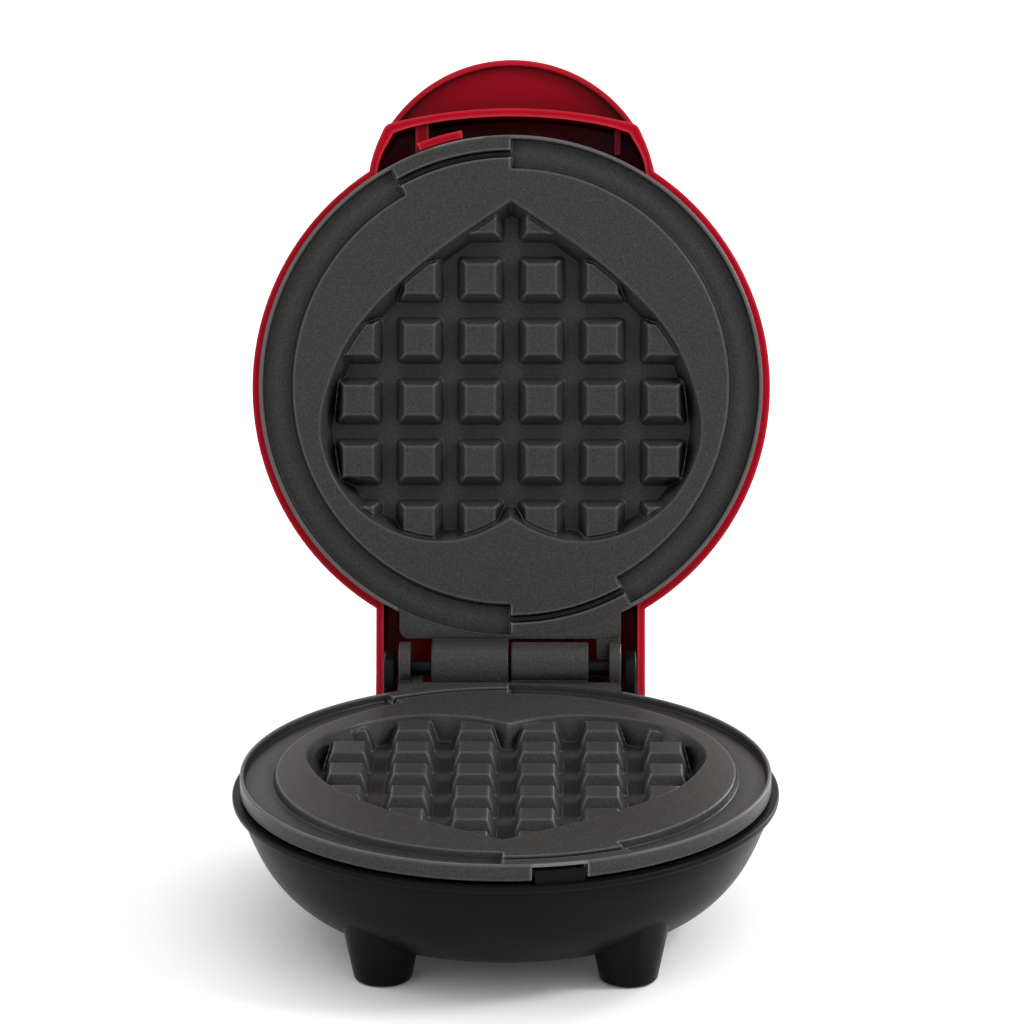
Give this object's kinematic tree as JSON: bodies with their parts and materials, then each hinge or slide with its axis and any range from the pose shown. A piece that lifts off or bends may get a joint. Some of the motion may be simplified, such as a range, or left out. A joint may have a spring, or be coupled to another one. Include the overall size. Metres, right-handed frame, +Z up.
{
  "type": "waffle maker",
  "caption": "Small round waffle maker with heart-shaped grid plates, red hinged lid standing open on a black footed base.",
  "frame": {"origin": "middle of the opened appliance's bounding box, at the table under the foot pads", "axes": "+X to the user's right, +Y from the user towards the hinge and the cord outlet, +Z up"},
  "size_m": [0.1279, 0.2026, 0.1768],
  "materials": {
    "housing_plastic": "fine satin black moulding",
    "pad_rubber": "matte",
    "coated_aluminium": "dark grey speckled non-stick coating, satin",
    "element_steel": "dull, heat tinted",
    "shield_sheet": "mill finish",
    "screw_steel": "zinc plated",
    "thermostat_metal": "stamped",
    "fuse_metal": "bright",
    "gland_rubber": "matte black",
    "connector_ceramic": "glazed white",
    "wire_sleeve": "silicone, black",
    "pin_steel": "blackened",
    "lid_red": "deep red, semi-gloss",
    "lens_amber": "clear amber",
    "lamp_glass": "clear",
    "sleeve_silicone": "matte"
  },
  "bodies": {
    "base": {"base_housing": "housing_plastic", "foot_pads": "pad_rubber", "lower_plate": "coated_aluminium", "lower_heating_element": "element_steel", "lower_heat_shield": "shield_sheet", "lower_inner_screws": "screw_steel", "control_thermostat": "thermostat_metal", "thermostat_strap": "shield_sheet", "thermal_fuse": "fuse_metal", "base_screws": "screw_steel", "cord_gland": "gland_rubber", "wire_connectors": "connector_ceramic", "base_wiring": "wire_sleeve", "hinge_pin": "pin_steel"},
    "lid": {"lid_cover": "lid_red", "upper_plate": "coated_aluminium", "upper_heating_element": "element_steel", "upper_heat_shield": "shield_sheet", "upper_inner_screws": "screw_steel", "indicator_lens": "lens_amber", "indicator_lamp": "lamp_glass", "lamp_sleeve": "sleeve_silicone", "lid_wiring": "wire_sleeve"}
  },
  "joints": [
    {"name": "lid_hinge", "type": "hinge", "parent": "base", "child": "lid", "pos_m": [0, 0.03193, 0.0386], "axis": [1, 0, 0], "range_deg": [0, 108.7]}
  ]
}
